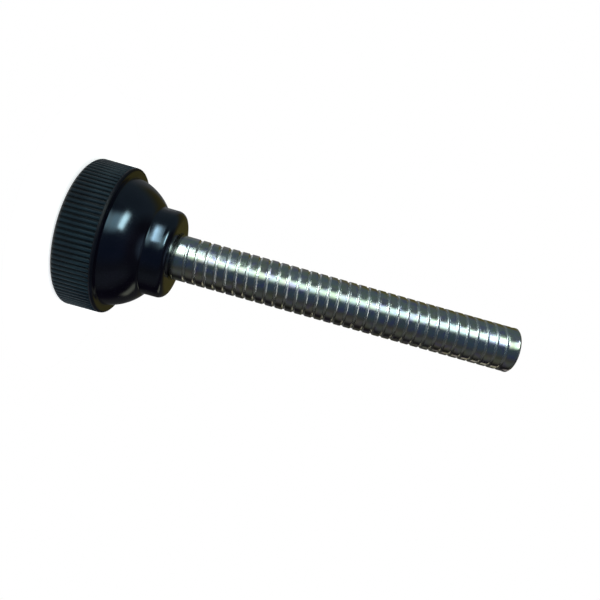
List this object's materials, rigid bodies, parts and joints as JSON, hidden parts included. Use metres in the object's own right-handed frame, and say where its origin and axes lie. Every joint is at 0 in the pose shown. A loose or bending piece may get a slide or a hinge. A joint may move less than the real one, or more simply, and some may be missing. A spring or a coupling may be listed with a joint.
{
  "type": "thumb screw",
  "caption": "Thumb screw: a black moulded knob with a ridged rim, domed bell and short boss, on a steel rod with a coarse shallow thread.",
  "frame": {"origin": "middle of the knob's flat back, which the screw stands on", "axes": "+Z along the rod, from the knob to the free end"},
  "size_m": [0.0254, 0.0254, 0.0768],
  "materials": {
    "knob_plastic": "glossy black moulded plastic, satin on the ridged rim",
    "stud_steel": "bright plated steel with fine turning marks"
  },
  "bodies": {
    "root": {"knob": "knob_plastic", "threaded_stud": "stud_steel"}
  },
  "joints": []
}
